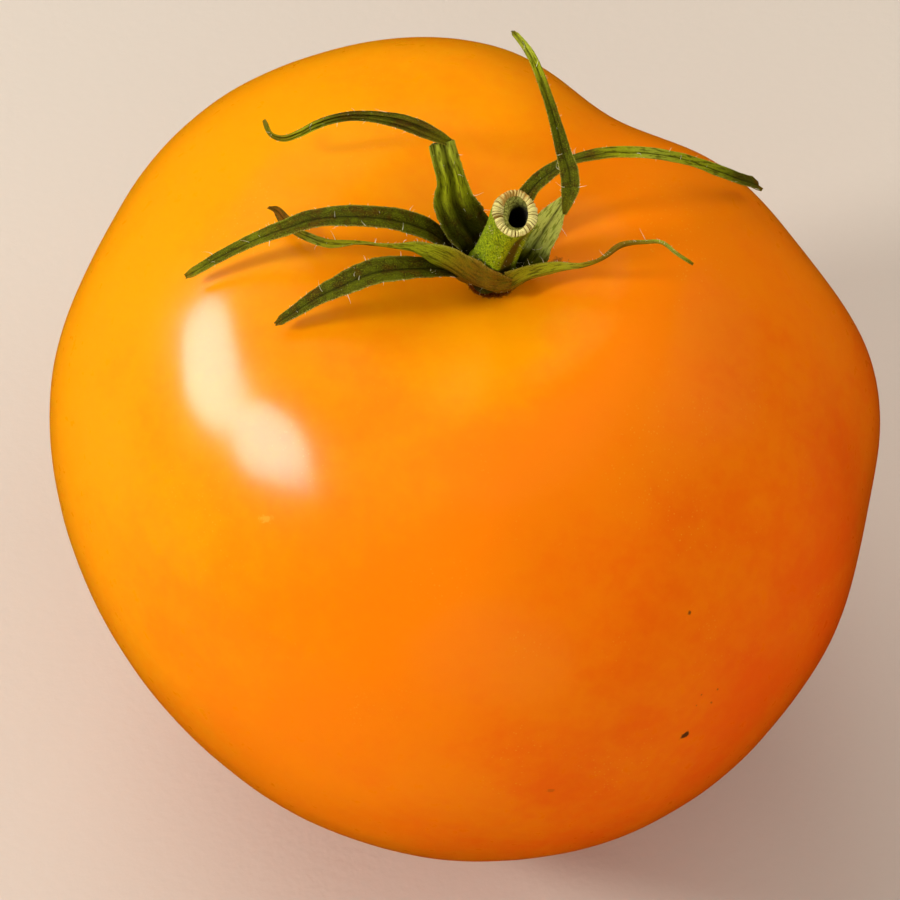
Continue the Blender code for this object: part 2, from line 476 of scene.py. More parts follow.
@dataclass(frozen=True)
class SkinFinish:
    """Ripe tomato skin: waxy and glossy over flesh that light soaks into."""

    yellow: Colour = (0.98, 0.330, 0.0006)
    orange: Colour = (0.94, 0.212, 0.0004)
    deep: Colour = (0.88, 0.095, 0.0002)
    cork_and_shadow: Colour = (0.13, 0.018, 0.002)
    scar: Colour = (0.10, 0.045, 0.012)
    pale_fleck: Colour = (1.0, 0.55, 0.06)
    speck: Colour = (0.09, 0.028, 0.006)
    roughness: float = 0.30
    coat_roughness: float = 0.17
    fleck_size: float = 0.55 * MM
    cork_edge: tuple[float, float] = (2.62 * MM, 2.90 * MM)
    relief: float = 0.035 * MM

    def material(self, skin: "TomatoSkin", marks: Sequence[Mark]) -> bpy.types.Material:
        """Makes the material.

        Args:
            skin: The fruit's form, which says where a mark lies.
            marks: The small marks on it.

        Returns:
            The finished material.
        """
        board = Board("tomato_skin")
        place = board.place()
        # This value is partly real ripening and partly painted light: deeper orange as painted shade on
        # the side away from the lamps, and paler as a painted highlight on the shoulder in front of the
        # stem.
        ripe = board.attribute("ripe")
        cloud = board.speckle(place, 11 * MM, 3.0)
        mottle = board.speckle(place, 1.6 * MM, 4.0, 0.6)
        tone_and_painted_light = board.add(ripe, board.spread(cloud, 0.3, 0.7, -0.07, 0.07))
        tone_and_painted_light = board.add(tone_and_painted_light, board.spread(mottle, 0.3, 0.7, -0.03, 0.03))
        colour = board.blend(board.spread(tone_and_painted_light, 0.0, 0.5), self.yellow, self.orange)
        colour = board.blend(board.spread(tone_and_painted_light, 0.5, 1.0), colour, self.deep)
        colour = self._flecked(board, place, colour)
        colour = self._marked(board, place, colour, skin, marks)
        rough_skin = board.speckle(place, 0.35 * MM, 4.0, 0.7)
        edge = board.add(board.attribute("apart"), board.spread(rough_skin, 0.2, 0.8, -0.02, 0.02))
        inner, outer = (distance / APART_UNIT for distance in self.cork_edge)
        # The corky ring is real brown tissue; its dark, crisp edge just under the disc's collar is
        # painted contact shadow too.
        near_stem = board.spread(edge, inner, outer, 1.0, 0.0)
        corky = board.times(near_stem, board.spread(rough_skin, 0.25, 0.6, 0.6, 1.0))
        colour = board.blend(corky, colour, self.cork_and_shadow)
        colour = board.blend(board.attribute("scar"), colour, self.scar)
        board.coat(
            Base_Color=colour,
            Roughness=board.spread(mottle, 0.2, 0.8, self.roughness - 0.04, self.roughness + 0.05),
            Subsurface_Weight=0.22,
            Subsurface_Radius=(1.0, 0.32, 0.06),
            Subsurface_Scale=0.004,
            IOR=1.42,
            Specular_IOR_Level=0.03,
            Coat_Weight=0.5,
            Coat_Roughness=self.coat_roughness,
            Coat_IOR=1.45,
        )
        ripple = board.speckle(place, 2.4 * MM, 2.0)
        fine = board.speckle(place, 0.28 * MM, 2.0)
        relief = board.add(ripple, board.times(fine, 0.06))
        relief = board.add(relief, board.times(corky, board.times(rough_skin, 3.0)))
        board.bump(relief, self.relief)
        return board.material

    def _flecked(self, board: Board, place: Socket, colour: Socket) -> Socket:
        """Adds the tiny pale flecks of the skin, in loose drifts.

        Args:
            board: The material in the making.
            place: The point's place on the fruit.
            colour: The skin's colour so far.

        Returns:
            The colour with the flecks.
        """
        cells = board.node("TexVoronoi", Vector=place, Scale=1 / self.fleck_size, Randomness=1.0)
        dot = board.spread(cells.outputs["Distance"], 0.08, 0.22, 1.0, 0.0)
        drift = board.spread(board.speckle(place, 9 * MM, 2.0), 0.50, 0.72, 0.0, 0.25)
        return board.blend(board.times(dot, drift), colour, self.pale_fleck)

    def _marked(
        self, board: Board, place: Socket, colour: Socket, skin: "TomatoSkin", marks: Sequence[Mark]
    ) -> Socket:
        """Adds the few small marks, each with a ragged edge.

        Args:
            board: The material in the making.
            place: The point's place on the fruit.
            colour: The skin's colour so far.
            skin: The fruit's form, which says where a mark lies.
            marks: The marks. One with a depth below 0 is pale.

        Returns:
            The colour with the marks.
        """
        ragged = board.spread(board.speckle(place, 0.4 * MM, 3.0), 0.2, 0.8, 0.55, 1.6)
        for mark in marks:
            centre = skin.spot(mark.polar, mark.azimuth)
            apart = board.vector("SUBTRACT", place, centre)
            level = board.vector("MULTIPLY", apart.outputs["Vector"], (1 / mark.stretch, 1, 1))
            length = board.vector("LENGTH", level.outputs["Vector"])
            reach = board.times(length.outputs["Value"], ragged)
            share = board.spread(reach, 0.45 * mark.radius, mark.radius, abs(mark.depth), 0.0)
            colour = board.blend(share, colour, self.speck if mark.depth > 0 else self.pale_fleck)
        return colour


@dataclass(frozen=True)
class LeafFinish:
    """Drying sepal: dark and fibrous, with a paler side and brown dry ends, and with painted light:
    highlights on the grain and the lit side, rim light on the edges, and shade in the creases, pits and
    at the root.
    """

    dark: Colour = (0.055, 0.045, 0.002)
    green: Colour = (0.105, 0.115, 0.003)
    tan: Colour = (0.130, 0.052, 0.003)
    pale: Colour = (0.80, 0.87, 0.17)
    pale_vein: Colour = (0.26, 0.32, 0.014)
    highlight_green: Colour = (0.40, 0.43, 0.010)
    margin: Colour = (0.62, 0.52, 0.070)
    brown: Colour = (0.26, 0.092, 0.004)
    shade: Colour = (0.010, 0.008, 0.001)
    roughness: float = 0.5
    fibre_stretch: float = 0.14
    relief: float = 0.20 * MM

    def material(self) -> bpy.types.Material:
        """Makes the material.

        The mesh holds the values along, across, under, pale, dry, rib, margin and root. The rib and
        root values are painted shade, and the pale edge value is painted rim light.

        Returns:
            The finished material.
        """
        board = Board("sepal_leaf")
        place = board.place()
        along = board.times(board.attribute("along"), self.fibre_stretch)
        strip = board.combine(along, board.attribute("across"), board.attribute("under"))
        fibre = board.speckle(strip, 0.20 * MM, 3.0, 0.6)
        cell = board.speckle(place, 0.11 * MM, 3.0, 0.75)
        patch = board.speckle(place, 1.3 * MM, 3.0, 0.6)
        colour = board.blend(board.spread(patch, 0.40, 0.66), self.dark, self.green)
        colour = board.blend(board.spread(fibre, 0.50, 0.70, 0.0, 0.5), colour, self.green)
        colour = board.blend(board.spread(patch, 0.50, 0.30, 0.0, 0.55), colour, self.tan)
        # Painted highlights on the raised cells of the grain.
        colour = board.blend(board.spread(cell, 0.52, 0.66, 0.0, 0.5), colour, self.highlight_green)
        pale_side = board.blend(board.spread(fibre, 0.38, 0.52, 0.85, 0.0), self.pale, self.pale_vein)
        pale_side = board.blend(board.spread(patch, 0.36, 0.26, 0.0, 0.5), pale_side, self.pale_vein)
        # Where pale is below 0.5 the blade gets painted highlights along its fibres, as on its lit top.
        lit_side = board.blend(board.spread(fibre, 0.38, 0.52, 0.75, 0.0), self.highlight_green, self.dark)
        pale = board.attribute("pale")
        colour = board.blend(board.spread(pale, 0.0, 0.5), colour, lit_side)
        colour = board.blend(board.spread(pale, 0.5, 1.0), colour, pale_side)
        # Painted rim light: a thin pale line along the blade's edges.
        ragged = board.spread(cell, 0.38, 0.60, 0.0, 1.0)
        margin = board.times(board.attribute("margin"), ragged)
        colour = board.blend(board.times(margin, 0.75), colour, self.margin)
        dried = board.times(board.attribute("dry"), board.spread(fibre, 0.3, 0.6, 0.55, 1.0))
        husk = board.blend(board.spread(fibre, 0.40, 0.54, 0.7, 0.0), self.brown, self.tan)
        colour = board.blend(dried, colour, husk)
        # Painted shade in the creases and near the root.
        colour = board.blend(board.times(board.attribute("rib"), 0.75), colour, self.shade)
        colour = board.blend(board.times(board.attribute("root"), 0.85), colour, self.shade)
        # Painted shade in the pits of the grain, less on the pale parts.
        on_dark = board.spread(pale, 0.3, 0.9, 1.0, 0.35)
        pits = board.times(board.spread(cell, 0.30, 0.48, 0.6, 0.0), on_dark)
        colour = board.blend(pits, colour, self.shade)
        board.coat(
            Base_Color=colour,
            Roughness=board.spread(cell, 0.2, 0.8, self.roughness - 0.12, self.roughness + 0.12),
            IOR=1.4,
            Specular_IOR_Level=0.05,
            Subsurface_Weight=0.08,
            Subsurface_Radius=(0.6, 1.0, 0.2),
            Subsurface_Scale=0.0006,
        )
        board.bump(board.add(fibre, board.times(cell, 0.7)), self.relief)
        return board.material


@dataclass(frozen=True)
class StemFinish:
    """Cut stem: granular yellow-green outside with a dark brown groove that is partly painted shade,
    and a pale fibrous cut round a bore painted dark as shade.
    """

    green: Colour = (0.25, 0.35, 0.003)
    dull: Colour = (0.060, 0.085, 0.001)
    straw: Colour = (0.56, 0.58, 0.018)
    cream: Colour = (0.86, 0.76, 0.26)
    fibre: Colour = (0.24, 0.13, 0.012)
    aged: Colour = (0.50, 0.23, 0.025)
    bore: Colour = (0.004, 0.003, 0.001)
    wall: Colour = (0.46, 0.46, 0.09)
    wall_dull: Colour = (0.14, 0.12, 0.012)
    brown: Colour = (0.060, 0.026, 0.002)
    relief: float = 0.09 * MM

    def material(self) -> bpy.types.Material:
        """Makes the material.

        The mesh holds the values cut, inside, deep, groove, bundle, turn_x and turn_y. The deep value
        is painted shade down the bore, and the groove value is partly painted shade.

        Returns:
            The finished material.
        """
        board = Board("stem_tissue")
        place = board.place()
        turn_y, cut = board.attribute("turn_y"), board.attribute("cut")
        spokes = board.combine(board.attribute("turn_x"), turn_y, cut)
        uneven = board.spread(board.speckle(spokes, 0.05), 0.3, 0.7, -0.15, 0.15)
        bundle = board.add(board.attribute("bundle"), uneven)
        pebble = board.speckle(place, 0.17 * MM, 3.0, 0.65)
        patch = board.speckle(place, 1.3 * MM, 3.0)
        outer = board.blend(board.spread(pebble, 0.36, 0.52), self.dull, self.green)
        outer = board.blend(board.spread(pebble, 0.54, 0.66, 0.0, 0.7), outer, self.straw)
        outer = board.blend(board.spread(patch, 0.50, 0.30, 0.0, 0.35), outer, self.dull)
        # The groove is painted dark brown, partly real browning and partly painted shade on the side
        # turned from the key lamp.
        groove_shade = board.add(board.attribute("groove"), board.spread(pebble, 0.3, 0.7, -0.12, 0.12))
        outer = board.blend(board.spread(groove_shade, 0.30, 0.50, 0.0, 0.9), outer, self.brown)
        face = board.blend(board.spread(bundle, 0.25, 0.55), self.fibre, self.cream)
        back = board.add(turn_y, board.spread(patch, 0.3, 0.7, -0.35, 0.35))
        face = board.blend(board.spread(back, 0.45, 0.95, 0.0, 0.8), face, self.aged)
        inner = board.blend(board.spread(pebble, 0.4, 0.6), self.wall_dull, self.wall)
        # The bore colour is painted shade, near black down the hole.
        inner = board.blend(board.attribute("deep"), inner, self.bore)
        colour = board.blend(board.spread(cut, 0.15, 0.5), outer, face)
        colour = board.blend(board.spread(board.attribute("inside"), 0.3, 0.7), colour, inner)
        board.coat(Base_Color=colour, Roughness=0.5, IOR=1.4, Specular_IOR_Level=0.2)
        relief = board.add(pebble, board.times(bundle, board.times(cut, 1.5)))
        board.bump(relief, self.relief)
        return board.material


@dataclass(frozen=True)
class HairFinish:
    """Plant hair: almost clear, and pale where it catches the light."""

    straw: Colour = (0.86, 0.76, 0.42)
    clear: Colour = (0.95, 0.90, 0.70)

    def material(self) -> bpy.types.Material:
        """Makes the material.

        Returns:
            The finished material.
        """
        board = Board("plant_hair")
        tone = board.speckle(board.place(), 0.5 * MM, 1.0)
        colour = board.blend(tone, self.straw, self.clear)
        board.coat(Base_Color=colour, Roughness=0.4)
        return board.material


@dataclass(frozen=True)
class FloorFinish:
    """A plain, pale, matt surface to stand things on."""

    light: Colour = (0.66, 0.59, 0.51)
    dark: Colour = (0.61, 0.54, 0.46)

    def material(self) -> bpy.types.Material:
        """Makes the material.

        Returns:
            The finished material.
        """
        board = Board("pale_floor")
        place = board.place()
        colour = board.blend(board.speckle(place, 120 * MM, 3.0), self.light, self.dark)
        board.coat(Base_Color=colour, Roughness=0.6)
        board.bump(board.speckle(place, 1.2 * MM, 3.0), 0.05 * MM)
        return board.material


# --------------------------------------------------------------------------- the fruit's form


@dataclass(frozen=True)
class TomatoSkin:
    """The form of the skin: a full crown, a narrower base, lobes, and a hollow at the stem."""

    ring_radius: float = 43.0 * MM
    crown_rise: float = 40.0 * MM
    base_drop: float = 44.0 * MM
    foot_radius: float = 10.0 * MM
    foot_blend: float = 0.55 * MM
    egg: float = 0.05
    oval: float = 0.05
    oval_azimuth: float = 125.0
    hollow_depth: float = 7.0 * MM
    hollow_radius: float = 14.0 * MM
    stem_x: float = 3.8 * MM
    stem_y: float = 1.2 * MM
    swells: tuple[Swell, ...] = (
        Swell(60, 17, -4.0 * MM, 62, 29),
        Swell(42, 16, -1.2 * MM, 28, 16),
        Swell(5, 14, 2.7 * MM, 80, 29),
        Swell(153, 13, -1.3 * MM, 85, 29),
        Swell(-24, 12, 0.6 * MM, 72, 30),
        Swell(-42, 12, -0.5 * MM, 60, 26),
        Swell(-88, 14, 0.5 * MM, 45, 30),
    )

    @property
    def ring_height(self) -> float:
        """Height of the widest ring above the flat spot."""
        return self.base_drop * math.sqrt(1 - (self.foot_radius / self.ring_radius) ** 2)

    def swelling(self, polar: np.ndarray, azimuth: np.ndarray) -> np.ndarray:
        """How far the lobes and grooves move the skin outwards.

        Args:
            polar: Angles down from the crown, in radians.
            azimuth: Angles round the stem, in radians.

        Returns:
            The distances, in metres.
        """
        total = np.zeros(np.broadcast(polar, azimuth).shape)
        for swell in self.swells:
            apart = turned_apart(azimuth, swell.azimuth)
            around = bell(apart, math.radians(swell.half_width))
            down = bell(polar - math.radians(swell.polar), math.radians(swell.half_height))
            total = total + swell.out * around * down
        return total

    def points(self, polar: np.ndarray, azimuth: np.ndarray) -> np.ndarray:
        """Points of the skin, before the foot is flattened.

        Args:
            polar: Angles down from the crown, in radians.
            azimuth: Angles round the stem, in radians.

        Returns:
            The points, with the coordinates last.
        """
        polar, azimuth = np.broadcast_arrays(polar, azimuth)
        across = np.sin(polar)
        upper = polar < math.pi / 2
        oval = self.oval * across * np.cos(2 * (azimuth - math.radians(self.oval_azimuth)))
        radius = self.ring_radius * across * (1 + self.egg * np.cos(polar)) * (1 + oval)
        height = np.where(upper, self.crown_rise, self.base_drop) * np.cos(polar)
        out = self.swelling(polar, azimuth)
        radius = radius + out * across
        height = height + out * np.cos(polar)
        hollow = self.hollow_depth * bell(radius, self.hollow_radius)
        height = height - np.where(upper, hollow, 0)
        lean = np.where(upper, 1 - across, 0)
        x = radius * np.cos(azimuth) + self.stem_x * lean
        y = radius * np.sin(azimuth) + self.stem_y * lean
        return np.stack([x, y, self.ring_height + height], -1)

    def spot(self, polar: float, azimuth: float) -> Vector:
        """The place on the skin at an angle down from the crown and one round it, in degrees."""
        return Vector(self.points(*np.radians([polar, azimuth])))


@dataclass
class Fruit:
    """The whole fruit, with its stem hollow, corky ring, blossom scar and flat spot."""

    skin: TomatoSkin
    finish: SkinFinish = field(default_factory=SkinFinish)
    around: int = 320
    down: int = 224
    cork_inner: float = 2.6 * MM
    cork_outer: float = 3.5 * MM
    scar_radius: float = 1.6 * MM
    lit_shoulder_ahead: float = 9.0 * MM
    lit_shoulder_radius: float = 8.5 * MM
    pole: float = 0.004
    scar_rise: float = 0.35 * MM
    marks: tuple[Mark, ...] = (
        Mark(-58.7, 77.4, 0.50 * MM, 1.6, 1.0),
        Mark(-53.9, 57.1, 0.22 * MM, 1.2, 0.9),
        Mark(-55.4, 71.2, 0.16 * MM, 1.0, 0.6),
        Mark(-54.1, 74.0, 0.20 * MM, 1.0, 0.5),
        Mark(-56.4, 72.6, 0.15 * MM, 1.0, 0.5),
        Mark(-52.8, 72.3, 0.14 * MM, 1.0, 0.6),
        Mark(-129.2, 45.9, 0.50 * MM, 2.2, -0.3),
        Mark(-77.4, 80.1, 0.45 * MM, 1.4, 0.25),
        Mark(8.0, 9.2, 0.95 * MM, 1.0, 0.6),
        Mark(118.0, 66.0, 0.40 * MM, 1.3, 0.7),
        Mark(64.0, 98.0, 0.30 * MM, 1.0, 0.6),
        Mark(171.0, 104.0, 0.45 * MM, 1.5, 0.5),
    )

    def build(self) -> bpy.types.Object:
        """Builds and dresses the fruit.

        Returns:
            The finished piece.
        """
        polar = np.linspace(self.pole, math.pi - self.pole, self.down)[:, None]
        azimuth = np.linspace(0, math.tau, self.around, endpoint=False)[None, :]
        points = self.skin.points(polar, azimuth)
        normals = self._normals(points)
        points = points + normals * self._relief(points)[..., None]
        points[..., 2] = self._rested(points[..., 2])
        scar = self._scar_share(points)
        points[..., 2] += self.scar_rise * scar
        maker = MeshMaker("tomato_fruit")
        below = points[..., 2] < self.skin.ring_height
        apart = self._stem_distance(points) / APART_UNIT + 9.0 * below
        values = {"ripe": self._ripeness_and_painted_light(points), "apart": apart, "scar": 0.9 * scar}
        maker.loft(points[::-1], {name: value[::-1] for name, value in values.items()})
        piece = maker.finish([self.finish.material(self.skin, self.marks)])
        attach(piece, BODY)
        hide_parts("fruit")
        return piece

    def _normals(self, points: np.ndarray) -> np.ndarray:
        """Works out which way is outwards.

        Args:
            points: The grid of points, from the crown down and round the stem.

        Returns:
            The outward direction at each point.
        """
        down = np.gradient(points, axis=0)
        round_way = (np.roll(points, -1, 1) - np.roll(points, 1, 1)) / 2
        return unit(np.cross(down, round_way))

    def _relief(self, points: np.ndarray) -> np.ndarray:
        """Works out the soft unevenness of the skin, and the raised crust of the corky ring.

        Args:
            points: The points of the skin.

        Returns:
            How far each point moves outwards.
        """
        waves = 0.16 * MM * grain(points, 13 * MM, 3.1) + 0.035 * MM * grain(points, 4.5 * MM, 7.7)
        crust = self._cork_share(points) * (0.08 + 0.05 * grain(points, 0.7 * MM, 1.3)) * MM
        return waves + crust

    def _stem_distance(self, points: np.ndarray) -> np.ndarray:
        """Level distance of each point from the stem's axis."""
        return np.hypot(points[..., 0] - self.skin.stem_x, points[..., 1] - self.skin.stem_y)

    def _cork_share(self, points: np.ndarray) -> np.ndarray:
        """Works out how corky the skin is.

        Args:
            points: The points of the skin.

        Returns:
            1 under the calyx, fading to 0 a little beyond it.
        """
        apart = self._stem_distance(points) + 0.5 * MM * grain(points, 1.4 * MM, 5.5)
        near = 1 - step(self.cork_inner, self.cork_outer, apart)
        return near * (points[..., 2] > self.skin.ring_height)

    def _scar_share(self, points: np.ndarray) -> np.ndarray:
        """How much of the blossom scar lies at each point."""
        apart = np.hypot(points[..., 0], points[..., 1])
        return bell(apart, self.scar_radius) * (points[..., 2] < 0.5 * self.skin.ring_height)

    def _rested(self, height: np.ndarray) -> np.ndarray:
        """Flattens the foot onto the surface that the fruit rests on, with a soft edge.

        Args:
            height: The height of each point.

        Returns:
            The heights, none of them below 0.
        """
        blend = self.skin.foot_blend
        edge = (height + blend) ** 2 / (4 * blend)
        return np.where(height > blend, height, np.where(height < -blend, 0, edge))

    def _ripeness_and_painted_light(self, points: np.ndarray) -> np.ndarray:
        """Works out how far the colour has turned, with painted light in it.

        Args:
            points: The points of the skin.

        Returns:
            A value for each point, from yellow at 0 to deep orange at 1. It deepens to the right, front
            and bottom, partly as real ripening and partly as painted shade, and it is paler on the
            shoulder in front of the stem as a painted highlight.
        """
        side = points[..., 0] / self.skin.ring_radius
        front = -points[..., 1] / self.skin.ring_radius
        low = 1 - points[..., 2] / self.skin.ring_height
        # The shoulder just in front of the stem is made paler as a painted highlight.
        ahead = np.hypot(points[..., 0] - self.skin.stem_x, points[..., 1] + self.lit_shoulder_ahead)
        painted_shoulder_light = bell(ahead, self.lit_shoulder_radius) * (points[..., 2] > self.skin.ring_height)
        return 0.42 + 0.40 * side + 0.25 * front + 0.13 * low - 0.38 * painted_shoulder_light


# --------------------------------------------------------------------------- the calyx


@dataclass(frozen=True)
class Perch:
    """Where the calyx sits: the stem's axis, the disc's foot and crown, and the skin below."""

    axis: Vector
    rim_radius: float
    foot: float
    crown: float
    tree: BVHTree
    gap: float = 0.3 * MM

    @classmethod
    def on(cls, fruit: bpy.types.Object) -> "Perch":
        """Finds the perch.

        Args:
            fruit: The finished fruit.

        Returns:
            The perch on it, at the frame's disc.
        """
        low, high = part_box("calyx_disc")
        middle = (low + high) / 2
        graph = bpy.context.evaluated_depsgraph_get()
        tree = BVHTree.FromObject(fruit, graph)
        radius = (high.x - low.x) / 2
        return cls(Vector((middle.x, middle.y, 0)), radius, low.z, high.z, tree)

    def skin_height(self, x: float, y: float) -> float:
        """Height of the skin straight below a point over the fruit."""
        return self.tree.ray_cast(Vector((x, y, 2 * self.crown)), Vector((0, 0, -1)))[0].z


@dataclass(frozen=True)
class BladeForm:
    """The cross-section that the sepals share."""

    along: int = 210
    across: int = 23
    middle_thickness: float = 0.42 * MM
    edge_thickness: float = 0.12 * MM
    fold: float = 0.15
    groove: float = 0.12 * MM
    rib: float = 0.16 * MM
    ripple: float = 0.20 * MM
    nick: float = 0.05
    tooth: float = 0.45 * MM
    root_reach: float = -2.4
    root_rise: float = 1.0
    root_shade: float = 5.2 * MM
    root_width: float = 0.8
    full_width: float = 2.4 * MM
    slimmest: float = 0.28
    vein: float = 0.035 * MM
    sway: float = 0.07


@dataclass
class Sepal:
    """One sepal of the calyx, as a solid blade along its midrib."""

    node: str
    stations: tuple[Station, ...]
    seed: int
    tail: tuple[Station, ...] = ()
    hairs: int = 12
    fuzz: int = 50
    pleat: float = 0.0
    rooted: bool = True
    form: BladeForm = field(default_factory=BladeForm)

    def build(self, perch: Perch, materials: Sequence[bpy.types.Material]) -> bpy.types.Object:
        """Builds and dresses the sepal.

        Args:
            perch: Where the calyx sits.
            materials: The leaf and hair materials.

        Returns:
            The finished piece.
        """
        maker = MeshMaker(self.node + "_leaf")
        rng = np.random.default_rng(self.seed)
        for stations in filter(None, (self.stations, self.tail)):
            folded = stations is self.stations and bool(self.tail)
            rings, values, ups = self._rings(perch, stations, folded)
            maker.loft(rings, values)
            self._add_hairs(maker, rings, ups, rng)
        piece = maker.finish(materials)
        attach(piece, BODY)
        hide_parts(self.node)
        return piece

    def _from_root(self, stations: tuple[Station, ...]) -> tuple[Station, ...]:
        """Adds the station that sinks a rooted blade into the disc.

        Args:
            stations: The stations of the blade or of its tail.

        Returns:
            The stations, with the new one in front where the blade is rooted.
        """
        if not self._sunk(stations):
            return stations
        form, first = self.form, stations[0]
        width = form.root_width * first.width
        return (first._replace(reach=form.root_reach, rise=form.root_rise, width=width),) + stations

    def _sunk(self, stations: tuple[Station, ...]) -> bool:
        """Whether those stations start in the disc, which a tail never does."""
        return self.rooted and stations is not self.tail

    def _midrib(self, perch: Perch, stations: tuple[Station, ...]) -> np.ndarray:
        """Works out where the midrib runs.

        Args:
            perch: Where the calyx sits.
            stations: The blade's stations.

        Returns:
            One point for each station.
        """
        points = []
        for station in stations:
            reach = perch.rim_radius + perch.gap + station.reach * MM
            bearing = math.radians(station.bearing)
            x = perch.axis.x + reach * math.cos(bearing)
            y = perch.axis.y + reach * math.sin(bearing)
            points.append((x, y, perch.skin_height(x, y) + station.rise * MM))
        return np.array(points)

    def _rings(
        self, perch: Perch, stations: tuple[Station, ...], folded: bool
    ) -> tuple[np.ndarray, dict[str, np.ndarray], np.ndarray]:
        """Works out the rings of one blade.

        Args:
            perch: Where the calyx sits.
            stations: The blade's stations, base first.
            folded: Whether it ends in a straight fold, and not in a frayed tip.

        Returns:
            The rings, the values at their points, and the upward direction at each ring.
        """
        form = self.form
        rooted = float(self._sunk(stations))
        stations = self._from_root(stations)
        points = self._midrib(perch, stations)
        knots = np.concatenate([[0], np.cumsum(np.linalg.norm(np.diff(points, axis=0), axis=1))])
        run = np.linspace(0, knots[-1], form.along)
        spine = smooth_curve(points, knots, run)
        frayed = 0.0 if folded else 1.0
        sheet = Station(*smooth_curve(np.array(stations), knots, run).T)
        width, roll = sheet.width * MM, np.radians(sheet.roll)
        ahead = unit(np.gradient(spine, axis=0))
        side = unit(np.cross(ahead, [0.0, 0.0, 1.0]))
        up = np.cross(side, ahead)
        turn, lift = np.cos(roll)[:, None], np.sin(roll)[:, None]
        side, up = side * turn + up * lift, up * turn - side * lift
        share = run / run[-1]
        across = np.sin(np.linspace(-1, 1, form.across) * math.pi / 2)
        offsets, heights, unders = self._section(across, share, run, width, frayed)
        ragged = grain(np.stack([across * 2.6, 0 * across + self.seed, 0 * across], -1), 1.0)
        teeth = frayed * form.tooth * ragged
        reach = step(0.96, 1.0, share)[:, None] * np.concatenate([teeth, teeth[::-1]])[None]
        rings = (
            spine[:, None]
            + side[:, None] * offsets[..., None]
            + up[:, None] * heights[..., None]
            + ahead[:, None] * reach[..., None]
        )
        loop = np.concatenate([across, across[::-1]])
        whole = np.ones_like(offsets)
        dry = sheet.dry + 0.5 * frayed * step(0.95, 1.0, share)
        values = {
            "along": run[:, None] * whole,
            "across": offsets,
            "under": unders * 0.01,
            "pale": np.clip(sheet.pale[:, None] * whole, 0, 1),
            "dry": np.clip(dry[:, None] * whole, 0, 1),
            # The rib value is painted shade in the midrib's groove and the pleats' valleys, and the
            # root value is painted shade near the disc.
            "rib": self._crease_shade(loop, run) * (1 - 0.4 * unders) * step(0.02, 0.2, share)[:, None],
            "margin": step(0.86, 1.0, np.abs(loop))[None] * whole,
            "root": rooted * bell(run, form.root_shade)[:, None] * whole,
        }
        return rings, values, up

    def _pleats(self, across: np.ndarray, run: np.ndarray) -> np.ndarray:
        """Works out the lengthwise pleats of the blade.

        Args:
            across: Places across the blade, from -1 to 1.
            run: How far along the blade each ring is.

        Returns:
            A value for each ring and place, from -1 in a valley to 1 on a ridge.
        """
        line = np.stack([np.full_like(run, self.seed * 3.7), run / (5.7 * MM), np.zeros_like(run)], -1)
        drift = 0.5 * grain(line, 1.0, 8.8)[:, None]
        return np.cos(2.6 * math.pi * across[None] + 2.2 + drift) * (1 - 0.4 * across[None] ** 2)

    def _crease_shade(self, across: np.ndarray, run: np.ndarray) -> np.ndarray:
        """Works out the painted shade in the midrib's groove and in the valleys of the pleats.

        Args:
            across: Places round the blade, from -1 to 1 and back.
            run: How far along the blade each ring is.

        Returns:
            A value for each ring and place, from 0 to 1.
        """
        valleys = step(0.55, 0.95, -self._pleats(across, run)) * min(1.0, 3 * self.pleat)
        return np.maximum(bell(across, 0.10)[None] * (1 - valleys.max() * 0.7), valleys)

    def _section(
        self, across: np.ndarray, share: np.ndarray, run: np.ndarray, width: np.ndarray, frayed: float
    ) -> tuple[np.ndarray, np.ndarray, np.ndarray]:
        """Works out the cross-section at each ring: the top from edge to edge, then the underside.

        Args:
            across: Places across the blade, from -1 to 1.
            share: How far along the blade each ring is, from 0 to 1.
            run: The same in metres.
            width: The blade's width at each ring.
            frayed: 1 where the blade ends in a tip, and 0 where it ends in a fold.

        Returns:
            Sideways offsets, upward offsets, and 1 where a point is on the underside.
        """
        form = self.form
        line = np.stack([np.full_like(run, self.seed * 3.7), run / (2.2 * MM), np.zeros_like(run)], -1)
        left = 1 + form.sway * grain(line, 1.0, 0.3) + form.nick * grain(line, 0.22, 2.3)
        right = 1 + form.sway * grain(line, 1.0, 9.1) + form.nick * grain(line, 0.22, 6.3)
        wave = grain(line, 1.3, 4.4)
        ease = step(0.0, 0.12, share)
        edge = np.where(across[None] < 0, left[:, None], right[:, None])
        tip = 1 - 0.45 * frayed * step(0.975, 1.0, share)
        half = 0.5 * width[:, None] * edge * tip[:, None]
        slim = np.clip(width / form.full_width, form.slimmest, 1.0)[:, None]
        lift = form.fold * width[:, None] * np.abs(across) ** 1.2
        lift = lift + form.ripple * slim * (ease * wave)[:, None] * np.sign(across) * across**2
        lift = lift + self.pleat * MM * slim * ease[:, None] * self._pleats(across, run)
        extra = form.middle_thickness * slim - form.edge_thickness
        thick = form.edge_thickness + np.maximum(extra * (1 - across**2), 0)
        veins = form.vein * slim * np.cos(5 * math.pi * across[None])
        top = lift + thick / 2 + veins - form.groove * slim * bell(across, 0.14)
        under = lift - thick / 2 - veins - form.rib * slim * bell(across, 0.18)
        offset = half * across
        offsets = np.concatenate([offset, offset[:, ::-1]], 1)
        heights = np.concatenate([top, under[:, ::-1]], 1)
        unders = np.concatenate([np.zeros_like(offset), np.ones_like(offset)], 1)
        return offsets, heights, unders

